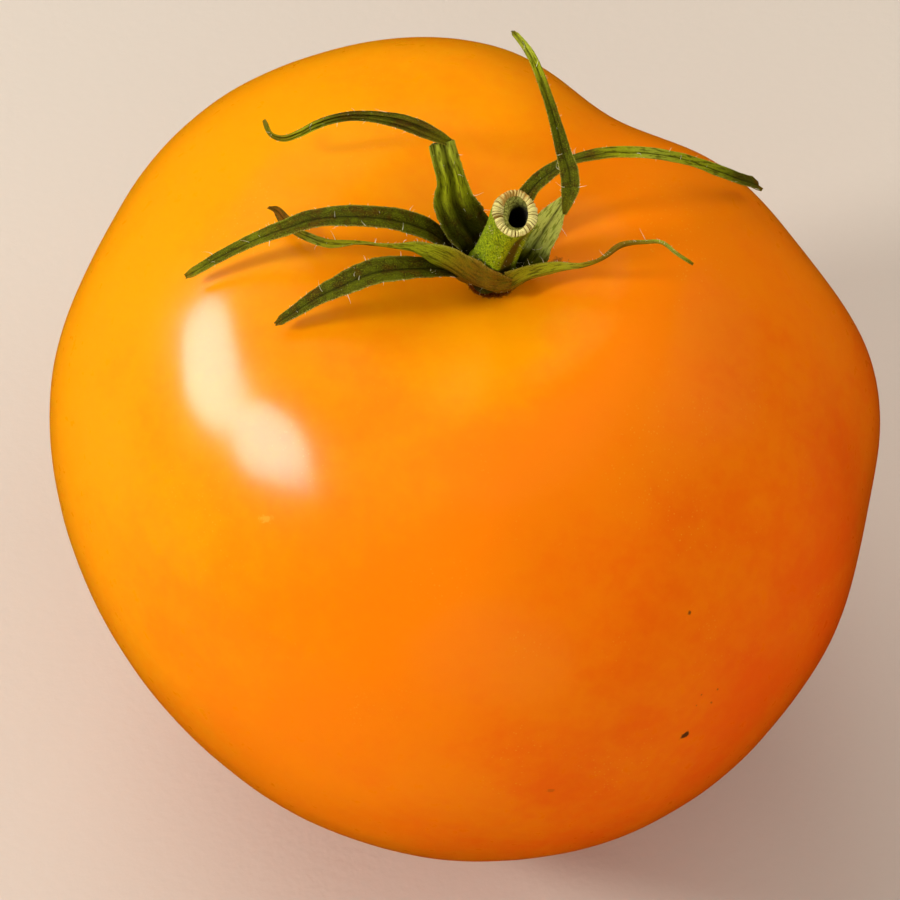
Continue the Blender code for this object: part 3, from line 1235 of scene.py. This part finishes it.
    def _add_hairs(
        self, maker: MeshMaker, rings: np.ndarray, ups: np.ndarray, rng: np.random.Generator
    ) -> None:
        """Adds a few long curved hairs, and a short fuzz along the edges.

        Args:
            maker: The piece that the hairs belong to.
            rings: The blade's rings.
            ups: The upward direction at each ring.
            rng: The source of their places.
        """
        form = self.form
        edges = [0, 1, form.across - 2, form.across - 1]
        for count, reach, radius, at_edge in (
            (self.hairs, (0.5, 1.2), 0.036, 0.5),
            (self.fuzz, (0.10, 0.32), 0.020, 0.85),
        ):
            rows = (form.along * (0.06 + 0.88 * rng.random(count) ** 1.2)).astype(int)
            near_edge = rng.random(count) < at_edge
            at_edges, inside = rng.choice(edges, count), rng.integers(2, form.across - 2, count)
            columns = np.where(near_edge, at_edges, inside)
            roots = rings[rows, columns]
            outward = unit(roots - rings[rows, form.across // 2] + 1e-9)
            ways = 0.8 * ups[rows] + outward * near_edge[:, None] + rng.normal(0, 0.35, (count, 3))
            lengths = rng.uniform(*reach, count) * MM
            Hairs(radius * MM).grow(maker, roots - 0.03 * MM * unit(ways), ways, lengths, rng)


@dataclass
class CalyxDisc:
    """The small cup that the sepals and the stem grow from."""

    seed: int = 71
    around: int = 112
    girth: float = 0.90
    rib_width: float = 0.26
    rib_rise: float = 0.12 * MM
    hairs: int = 90
    ribs: tuple[float, ...] = (168, 201, 250, 325, 5, 66, 136)
    profile: tuple[tuple[float, float], ...] = (
        (0.30, -0.25),
        (0.66, -0.15),
        (0.72, 0.10),
        (0.86, 0.35),
        (0.98, 0.58),
        (1.02, 0.72),
        (0.94, 0.88),
        (0.80, 0.98),
        (0.62, 1.12),
        (0.40, 1.32),
        (0.12, 1.40),
    )

    def build(self, perch: Perch, materials: Sequence[bpy.types.Material]) -> bpy.types.Object:
        """Builds and dresses the disc.

        Args:
            perch: Where the calyx sits.
            materials: The leaf and hair materials.

        Returns:
            The finished piece.
        """
        maker = MeshMaker("calyx_disc_tissue")
        turns = np.linspace(0, math.tau, self.around, endpoint=False)
        knots = np.arange(len(self.profile), dtype=float)
        outline = smooth_curve(np.array(self.profile), knots, np.linspace(0, knots[-1], 46))
        lobes = sum(bell(turned_apart(turns, rib), self.rib_width) for rib in self.ribs)
        reach, rise = outline[:, :1], outline[:, 1:]
        swell = 0.14 * (lobes - 0.4) - 0.08
        radius = self.girth * perch.rim_radius * reach * (1 + swell * step(0.3, 0.9, reach))
        level = perch.foot + (perch.crown - perch.foot) * rise
        level = level + self.rib_rise * (lobes - 0.5) * step(0.5, 1.0, reach)
        x, y = perch.axis.x + radius * np.cos(turns), perch.axis.y + radius * np.sin(turns)
        rings = np.stack([x, y, level], -1)
        rings = rings + 0.06 * MM * grain(rings, 0.7 * MM, 2.0)[..., None]
        under = 1 - step(0.3, 0.8, rise) + 0 * turns
        values = {
            "along": turns[None] * 2.0 * MM + 0 * under,
            "across": radius,
            "pale": 0.0 * under,
            "dry": 0.15 + 0.6 * under,
            # The root value paints the whole disc towards shade.
            "root": 0.8 + 0.0 * under,
        }
        maker.loft(rings, values)
        self._add_hairs(maker, rings)
        piece = maker.finish(materials)
        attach(piece, BODY)
        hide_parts("calyx_disc")
        return piece

    def _add_hairs(self, maker: MeshMaker, rings: np.ndarray) -> None:
        """Adds a ruff of hairs round the rim and over the top.

        Args:
            maker: The piece that the hairs belong to.
            rings: The disc's rings.
        """
        rng = np.random.default_rng(self.seed)
        count = self.hairs
        rows = rng.integers(12, 42, count)
        columns = rng.integers(0, self.around, count)
        roots = rings[rows, columns]
        middle = rings[rows].mean(1)
        ways = unit(roots - middle) + [0, 0, 0.7] + rng.normal(0, 0.4, (count, 3))
        Hairs().grow(maker, roots, ways, rng.uniform(0.3, 0.9, count) * MM, rng)


@dataclass
class Calyx:
    """The seven sepals and their disc."""

    leaf: LeafFinish = field(default_factory=LeafFinish)
    hair: HairFinish = field(default_factory=HairFinish)
    disc: CalyxDisc = field(default_factory=CalyxDisc)

    def sepals(self) -> list[Sepal]:
        """The seven sepals, going round from the left."""
        return [
            Sepal("sepal_left_upper", (
                Station(1.0, 159, 2.6, 2.6, 0, 0.0, 0.2),
                Station(2.7, 163, 4.2, 2.6, 0),
                Station(5.3, 168, 5.4, 2.6, 0),
                Station(8.0, 172, 6.0, 2.5, 0),
                Station(10.8, 174, 6.0, 2.4, 0),
                Station(13.4, 175, 5.6, 2.3, 0),
                Station(16.8, 177, 4.8, 1.8, 5, 0.1),
                Station(20.2, 178, 3.8, 1.5, 5, 0.15),
                Station(23.4, 179, 2.9, 1.2, 10, 0.1),
                Station(26.6, 180, 2.2, 0.9, 10, 0.3, 0.1),
            ), seed=1, hairs=17),
            Sepal("sepal_left_lower", (
                Station(-0.1, 194, 2.2, 2.0, 0, 0.0, 0.2),
                Station(2.6, 197, 3.4, 2.5, 0),
                Station(5.2, 198, 4.2, 2.9, 0),
                Station(8.5, 198, 4.4, 2.9, 0),
                Station(11.8, 199, 3.8, 2.5, 0),
                Station(14.3, 199, 3.1, 2.0, 0),
                Station(16.4, 199, 2.2, 1.5, 0),
                Station(18.7, 199, 1.4, 1.0, 0, 0.1),
            ), seed=2, hairs=14),
            Sepal("sepal_front_left", (
                Station(-0.6, 303, 2.0, 2.0, -90, 0.1, 0.6),
                Station(-1.0, 267, 2.4, 4.2, -90, 0.1, 0.6),
                Station(-0.7, 224, 3.1, 4.7, -92, 0.1, 0.6),
                Station(0.4, 202, 4.1, 3.8, -98, 0.25, 0.5),
                Station(2.0, 192, 4.9, 3.0, -100, 0.35, 0.05),
                Station(3.8, 186, 5.2, 2.1, -90, 0.42),
                Station(5.8, 184, 5.0, 1.2, -70, 0.5),
                Station(9.2, 181, 4.2, 0.8, -40, 0.5, 0.1),
                Station(12.2, 179, 3.0, 0.9, 20, 0.5, 0.3),
                Station(14.3, 175, 2.2, 0.9, 40, 0.6, 0.1),
                Station(15.7, 172, 1.7, 0.9, 40, 0.2, 0.6),
                Station(17.3, 168, 1.6, 1.2, 30, 0.0, 0.9),
                Station(18.3, 166, 2.0, 0.8, 20, 0.0, 0.9),
                Station(19.1, 166, 2.4, 0.5, 10, 0.2, 0.6),
            ), seed=3, hairs=14, rooted=False),
            Sepal("sepal_back_left", (
                Station(-0.8, 128, 2.4, 5.0, 0, 0.0, 0.1),
                Station(0.6, 133, 4.2, 5.2, 0),
                Station(2.1, 130, 5.8, 4.4, 0, 0.25),
                Station(3.4, 125, 7.2, 3.2, 0, 0.5),
                Station(4.6, 123, 8.5, 2.8, 5, 0.6),
                Station(5.9, 121, 9.8, 2.6, 10, 0.65),
            ), tail=(
                Station(5.4, 117, 10.0, 0.8, 35, 0.0, 0.1),
                Station(6.3, 122, 10.4, 1.3, 40, 0.0, 0.2),
                Station(8.1, 127, 10.2, 1.6, 45, 0.0, 0.2),
                Station(10.2, 131, 9.6, 1.5, 55, 0.0, 0.1),
                Station(12.6, 135, 8.7, 1.2, 60, 0.0, 0.1),
                Station(15.6, 139, 7.2, 0.95, 65, 0.0, 0.1),
                Station(18.2, 143, 5.4, 0.85, 55, 0.3),
                Station(19.5, 146, 4.5, 0.75, 45, 0.5, 0.2),
                Station(20.8, 148, 4.1, 0.65, 40, 0.4, 0.5),
                Station(22.2, 148, 4.3, 0.45, 40, 0.5, 0.5),
                Station(23.7, 146, 5.2, 0.5, 40, 0.7, 0.2),
            ), seed=4, hairs=7, pleat=0.40),
            Sepal("sepal_right_upright", (
                Station(-0.9, 5, 2.0, 3.6, -30, 0.2, 0.1),
                Station(0.3, 13, 3.4, 3.9, -32, 0.8),
                Station(1.5, 16, 5.6, 3.2, -32, 1.0),
                Station(2.6, 19, 7.2, 2.3, -32, 1.0),
                Station(3.7, 21, 8.6, 1.0, -30, 1.0),
            ), tail=(
                Station(3.3, 10, 8.2, 0.4, 10, 0.0, 0.2),
                Station(3.8, 16, 8.9, 1.2, 10, 0.0, 0.1),
                Station(4.4, 22, 9.6, 1.8, 10, 0.0),
                Station(4.9, 31, 10.4, 1.9, 10, 0.0),
                Station(5.6, 43, 11.3, 1.6, 0, 0.0),
                Station(7.1, 56, 12.4, 1.3, -10, 0.05),
                Station(9.3, 67, 13.1, 1.1, -15, 0.2),
                Station(12.7, 77, 13.4, 1.0, -15, 0.6),
                Station(15.6, 84, 13.2, 0.8, -15, 0.6),
            ), seed=5, hairs=7),
            Sepal("sepal_back_right", (
                Station(0.2, 58, 2.4, 2.2, 0, 0.0),
                Station(1.9, 59, 4.6, 2.2, 0, 0.0),
                Station(3.4, 55, 6.2, 2.0, 0, 0.0),
                Station(5.1, 49, 7.4, 1.8, 0, 0.0),
                Station(7.0, 43, 8.1, 1.7, 20, 0.0),
                Station(8.3, 39, 8.4, 1.5, 10, 0.0, 0.1),
                Station(9.7, 36, 8.5, 1.3, -5, 0.3, 0.1),
                Station(13.1, 30, 8.1, 1.2, -15, 0.6),
                Station(17.2, 27, 6.7, 1.2, -15, 0.55),
                Station(20.8, 26, 5.2, 1.3, -20, 0.35),
                Station(24.2, 26, 4.0, 1.5, -20, 0.05),
                Station(27.0, 28, 3.0, 1.9, -20, 0.0, 0.2),
            ), seed=6, hairs=8),
            Sepal("sepal_front_right", (
                Station(-0.9, 268, 2.6, 1.3, 95, 0.1, 0.7),
                Station(-0.9, 291, 2.2, 3.2, 95, 0.15, 0.6),
                Station(0.0, 331, 2.6, 2.5, 98, 0.5, 0.35),
                Station(2.5, 344, 3.1, 1.7, 95, 0.55, 0.15),
                Station(5.5, 346, 3.8, 1.2, 70, 0.55, 0.25),
                Station(7.3, 349, 4.6, 1.1, 50, 0.3, 0.6),
                Station(8.9, 354, 5.3, 1.3, 50, 0.3, 0.75),
                Station(11.2, 356, 5.4, 1.0, 50, 0.6, 0.4),
                Station(12.7, 357, 5.2, 0.8, 40, 0.6),
                Station(14.3, 355, 4.6, 0.6, 30, 0.7),
                Station(16.0, 354, 4.0, 0.5, 20, 0.4, 0.2),
            ), seed=7, hairs=8, rooted=False),
        ]

    def build(self, perch: Perch) -> list[bpy.types.Object]:
        """Builds the disc and the sepals.

        Args:
            perch: Where the calyx sits.

        Returns:
            The finished pieces.
        """
        materials = [self.leaf.material(), self.hair.material()]
        pieces = [self.disc.build(perch, materials)]
        for sepal in self.sepals():
            pieces.append(sepal.build(perch, materials))
        return pieces


# --------------------------------------------------------------------------- the stem


class StemRings:
    """Collects the rings of the upright stem, and the values at their points."""

    def __init__(self, turns: np.ndarray) -> None:
        """Starts with no rings, for points at those angles round the stem."""
        self.turns = turns
        self.rings: list[np.ndarray] = []
        self.values: dict[str, list[np.ndarray]] = {
            name: [] for name in ("cut", "inside", "deep", "groove")
        }

    def add(self, radius: np.ndarray, height: np.ndarray, **values: np.ndarray | float) -> None:
        """Adds one ring.

        Args:
            radius: The distance from the stem's axis at each turn.
            height: The height at each turn.
            values: Those values that aren't 0, by name.
        """
        x, y = radius * np.cos(self.turns), radius * np.sin(self.turns)
        self.rings.append(np.stack([x, y, height], -1))
        for name, rows in self.values.items():
            rows.append(values.get(name, 0.0) + 0.0 * self.turns)


@dataclass
class Stem:
    """The cut stem: a leaning hollow stub with a slanted, fibrous cut."""

    finish: StemFinish = field(default_factory=StemFinish)
    hair: HairFinish = field(default_factory=HairFinish)
    length: float = 9.3 * MM
    foot_radius: float = 2.2 * MM
    waist_radius: float = 2.1 * MM
    top_radius: float = 2.3 * MM
    lean: float = 13.5
    cut_tilt: float = 16.0
    bore_radius: float = 1.50 * MM
    bore_depth: float = 5.0 * MM
    bore_shift: float = 0.42 * MM
    flare: float = 0.25 * MM
    sunk: float = 0.6 * MM
    bevel: float = 0.10 * MM
    groove_azimuth: float = -60.0
    groove_width: float = 0.45
    groove_depth: float = 0.15
    bundles: int = 38
    crown: float = 0.22 * MM
    tuft: float = 0.07 * MM
    pebble: float = 0.05 * MM
    foot_rise: float = 0.4 * MM
    around: int = 288
    outside_rings: int = 46
    cut_rings: int = 16
    bore_rings: int = 20
    hairs: int = 70
    seed: int = 91

    def build(self, perch: Perch) -> bpy.types.Object:
        """Builds and dresses the stem.

        Args:
            perch: Where the calyx sits.

        Returns:
            The finished piece.
        """
        maker = MeshMaker("stem_stub")
        rings, values = self._rings()
        rings = self._stood(rings, perch)
        maker.loft(rings, values)
        self._add_hairs(maker, rings)
        piece = maker.finish([self.finish.material(), self.hair.material()])
        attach(piece, BODY)
        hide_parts("stem")
        return piece

    def _rings(self) -> tuple[np.ndarray, dict[str, np.ndarray]]:
        """Works out the stem upright, from its foot up its outside, over the cut and down the bore.

        Returns:
            The rings and the values at their points.
        """
        turns = np.linspace(0, math.tau, self.around, endpoint=False)
        grown = StemRings(turns)
        fibres = self._fibres(turns)
        ribs = 0.035 * np.cos(4 * turns + 0.4) + 0.015 * np.cos(9 * turns + 2.1)
        oval = self.bore_radius * (1 - 0.13 * np.cos(2 * turns))
        slant = math.tan(math.radians(self.cut_tilt)) * np.sin(turns)
        self._add_outside(grown, ribs, slant)
        rim = self.top_radius * (1 + 0.5 * ribs) * (1 + 0.022 * fibres)
        self._add_cut(grown, rim, oval, slant, fibres)
        self._add_bore(grown, oval, slant)
        values = {name: np.array(rows) for name, rows in grown.values.items()}
        shape = values["cut"].shape
        values["bundle"] = np.broadcast_to(np.clip(0.5 + 0.4 * fibres, 0, 1), shape)
        values["turn_x"] = np.broadcast_to(np.cos(turns), shape)
        values["turn_y"] = np.broadcast_to(np.sin(turns), shape)
        rings = np.array(grown.rings)
        rings[..., 0] += self.bore_shift * step(0.0, 0.6, values["deep"][:, :1])
        pebbles = self.pebble * grain(rings, 0.6 * MM, 6.0)
        return rings + (pebbles * (1 - values["inside"]))[..., None], values

    def _fibres(self, turns: np.ndarray) -> np.ndarray:
        """Works out the uneven fibre bundles that end in the cut.

        Args:
            turns: The angles round the stem, in radians.

        Returns:
            How far each turn lies in a bundle, from about -1.5 to 1.5.
        """
        circle = np.stack([np.cos(turns), np.sin(turns), 0 * turns], -1)
        bundles = np.cos(self.bundles * turns + 5.0 * grain(circle, 0.45, 3.3))
        uneven = 0.75 * grain(circle, 0.11, 1.7) + 0.5 * grain(circle, 0.4, 8.1)
        return 0.55 * bundles * (0.7 + 0.7 * grain(circle, 0.22, 5.1)) + uneven

    def _add_outside(self, grown: StemRings, ribs: np.ndarray, slant: np.ndarray) -> None:
        """Adds the rings of the outside, from the foot up.

        Args:
            grown: The stem's rings so far.
            ribs: The ribs, as shares of the radius.
            slant: How much the cut rises with the radius at each turn.
        """
        groove = bell(turned_apart(grown.turns, self.groove_azimuth), self.groove_width)
        for share in np.linspace(0, 1, self.outside_rings):
            flare = self.flare * bell(share, 0.08)
            waist = self.foot_radius + (self.waist_radius - self.foot_radius) * step(0, 0.5, share)
            body = waist + (self.top_radius - self.waist_radius) * step(0.6, 1.0, share)
            dent = self.groove_depth * groove * (1 - step(0.75, 1.0, share))
            radius = (body + flare) * (1 + ribs * (1 - 0.5 * share) - dent)
            rise = share * (self.length + slant * radius + self.sunk)
            height = rise - self.sunk - self.bevel * step(0.97, 1.0, share)
            # The groove value carries painted shade as well as the brown of the groove.
            grown.add(radius, height, groove=(1 - 0.6 * share) * groove)

    def _add_cut(
        self, grown: StemRings, rim: np.ndarray, oval: np.ndarray, slant: np.ndarray, fibres: np.ndarray
    ) -> None:
        """Adds the rings of the cut, from its rim to the bore.

        Args:
            grown: The stem's rings so far.
            rim: The cut's outer radius at each turn.
            oval: The bore's radius at each turn.
            slant: How much the cut rises with the radius at each turn.
            fibres: The fibre bundles at each turn.
        """
        for share in np.linspace(0, 1, self.cut_rings)[1:]:
            radius = rim + (oval - rim) * share
            crown = self.crown * math.sin(math.pi * share) * (1 + 0.6 * fibres)
            tufts = self.tuft * fibres * (1 - share)
            grown.add(radius, self.length + slant * radius + crown + tufts, cut=1.0)

    def _add_bore(self, grown: StemRings, oval: np.ndarray, slant: np.ndarray) -> None:
        """Adds the rings of the bore, from the cut down.

        Args:
            grown: The stem's rings so far.
            oval: The bore's radius at each turn.
            slant: How much the cut rises with the radius at each turn.
        """
        for share in np.linspace(0, 1, self.bore_rings)[1:]:
            narrowing = 0.34 * step(0, 0.3, share) - 0.05 * np.cos(3 * grown.turns + 4 * share)
            radius = oval * (1 - narrowing)
            height = self.length + slant * radius * (1 - share) - self.bore_depth * share**1.5
            # Painted shade: the deep value darkens the bore downwards, sooner on its +X side.
            dark = min(1.0, 2.4 * share)
            lit = dark * (1.25 + 0.95 * np.cos(grown.turns))
            deep = np.clip(lit, 0, 1) if dark < 0.9 else 1.0
            grown.add(radius, height, inside=1.0, deep=deep)

    def _stood(self, rings: np.ndarray, perch: Perch) -> np.ndarray:
        """Leans the stem and stands it on the disc.

        Args:
            rings: The rings of the upright stem.
            perch: Where the calyx sits.

        Returns:
            The rings in their place.
        """
        across, along = math.cos(math.radians(self.lean)), math.sin(math.radians(self.lean))
        x, y, z = rings[..., 0], rings[..., 1], rings[..., 2]
        turned = np.stack([x * across + z * along, y, z * across - x * along], -1)
        return turned + [perch.axis.x, perch.axis.y, perch.crown + self.foot_rise]

    def _add_hairs(self, maker: MeshMaker, rings: np.ndarray) -> None:
        """Adds short hairs all round the outside.

        Args:
            maker: The piece that the hairs belong to.
            rings: The stem's rings.
        """
        rng = np.random.default_rng(self.seed)
        rows = rng.integers(3, 43, self.hairs)
        columns = rng.integers(0, self.around, self.hairs)
        roots = rings[rows, columns]
        ways = unit(roots - rings[rows].mean(1)) + rng.normal(0, 0.3, (self.hairs, 3))
        Hairs(0.018 * MM).grow(maker, roots, ways, rng.uniform(0.10, 0.28, self.hairs) * MM, rng)


# --------------------------------------------------------------------------- the studio


class Lamp(NamedTuple):
    """A soft light that looks at the fruit, with its size in metres and its power in watts."""

    name: str
    use: LampUse
    azimuth: float
    elevation: float
    width: float
    height: float
    power: float
    colour: Colour = (1.0, 0.97, 0.92)


@dataclass
class Studio:
    """The pale floor, the soft lights and the camera."""

    target: Vector
    floor_side: float = 3.0
    floor_cells: int = 8
    floor_drop: float = 0.1 * MM
    camera_distance: float = 0.55
    camera_elevation: float = 60.0
    lens: float = 208.9
    world_colour: Colour = (1.0, 0.95, 0.88)
    world_strength: float = 0.30
    lamp_distance: float = 0.8
    lamps: tuple[Lamp, ...] = (
        Lamp("window_tall", LampUse.GLINT, 167.5, 29.5, 0.42, 0.30, 7.0, (1.0, 0.93, 1.0)),
        Lamp("window_low", LampUse.GLINT, 192.0, 41.0, 0.28, 0.29, 4.6, (1.0, 0.93, 1.0)),
        Lamp("key_left", LampUse.SOFT, 188.0, 33.0, 0.16, 0.16, 3.7),
        Lamp("fill_top", LampUse.SOFT, 0.0, 88.0, 0.8, 0.8, 1.4),
        Lamp("fill_back", LampUse.SOFT, 118.0, 42.0, 0.7, 0.7, 2.6),
        Lamp("fill_right", LampUse.SOFT, 15.0, 34.0, 0.6, 0.6, 1.3),
        Lamp("fill_front", LampUse.SOFT, -88.0, 12.0, 0.7, 0.6, 2.3),
    )

    def build(self) -> None:
        """Sets up everything that isn't part of the fruit."""
        self._floor()
        for lamp in self.lamps:
            self._lamp(lamp)
        self._world()
        self._camera()
        bpy.context.scene.view_settings.view_transform = "Standard"

    def _floor(self) -> None:
        """Makes the floor, and keeps it out of the glossy reflections."""
        maker = MeshMaker("floor")
        half = self.floor_side / 2
        steps = np.linspace(-half, half, self.floor_cells + 1)
        grid = np.array([(x, y, -self.floor_drop) for y in steps for x in steps])
        row = len(steps)
        corners = [line * row + i for line in range(row - 1) for i in range(row - 1)]
        faces = [(first, first + 1, first + row + 1, first + row) for first in corners]
        maker.add(grid, faces, Surface.TISSUE, {})
        floor = maker.finish([FloorFinish().material()])
        floor.visible_glossy = False

    def _lamp(self, lamp: Lamp) -> None:
        """Makes one light.

        Args:
            lamp: What the light is like, and where it stands.
        """
        light = bpy.data.lights.new(lamp.name, "AREA")
        light.shape = "ELLIPSE"
        light.size = lamp.width
        light.size_y = lamp.height
        light.energy = lamp.power
        light.color = lamp.colour
        holder = bpy.data.objects.new(lamp.name, light)
        bpy.context.scene.collection.objects.link(holder)
        way = self._way(lamp.azimuth, lamp.elevation)
        holder.location = self.target + way * self.lamp_distance
        holder.visible_diffuse = lamp.use is LampUse.SOFT
        holder.visible_glossy = lamp.use is LampUse.GLINT
        holder.rotation_euler = way.to_track_quat("Z", "Y").to_euler()

    def _world(self) -> None:
        """Makes the soft light from all round."""
        world = bpy.data.worlds.new("studio")
        world.use_nodes = True
        sky = world.node_tree.nodes["Background"]
        sky.inputs["Color"].default_value = (*self.world_colour, 1.0)
        sky.inputs["Strength"].default_value = self.world_strength
        bpy.context.scene.world = world
        world.cycles_visibility.glossy = False

    def _camera(self) -> None:
        """Makes the camera, above and in front of the fruit."""
        camera = bpy.data.cameras.new("camera")
        camera.lens = self.lens
        camera.clip_start = 0.01
        holder = bpy.data.objects.new("camera", camera)
        bpy.context.scene.collection.objects.link(holder)
        way = self._way(-90.0, self.camera_elevation)
        holder.location = self.target + way * self.camera_distance
        holder.rotation_euler = (math.radians(90 - self.camera_elevation), 0, 0)
        bpy.context.scene.camera = holder

    @staticmethod
    def _way(azimuth: float, elevation: float) -> Vector:
        """The direction from the fruit to an azimuth and elevation in degrees."""
        turn, lift = math.radians(azimuth), math.radians(elevation)
        level = math.cos(lift)
        return Vector((math.cos(turn) * level, math.sin(turn) * level, math.sin(lift)))


def main() -> None:
    """Builds the pieces in order and reports each one."""
    logging.basicConfig(level=logging.INFO, format="%(message)s")
    skin = TomatoSkin()
    fruit = Fruit(skin).build()
    log.info("fruit: %d faces", len(fruit.data.polygons))
    perch = Perch.on(fruit)
    for piece in Calyx().build(perch):
        log.info("%s: %d faces", piece.name, len(piece.data.polygons))
    stem = Stem().build(perch)
    log.info("stem: %d faces", len(stem.data.polygons))
    Studio(target=Vector((-0.4 * MM, 0.1 * MM, skin.ring_height + 0.1 * MM))).build()


if __name__ == "__main__":
    main()
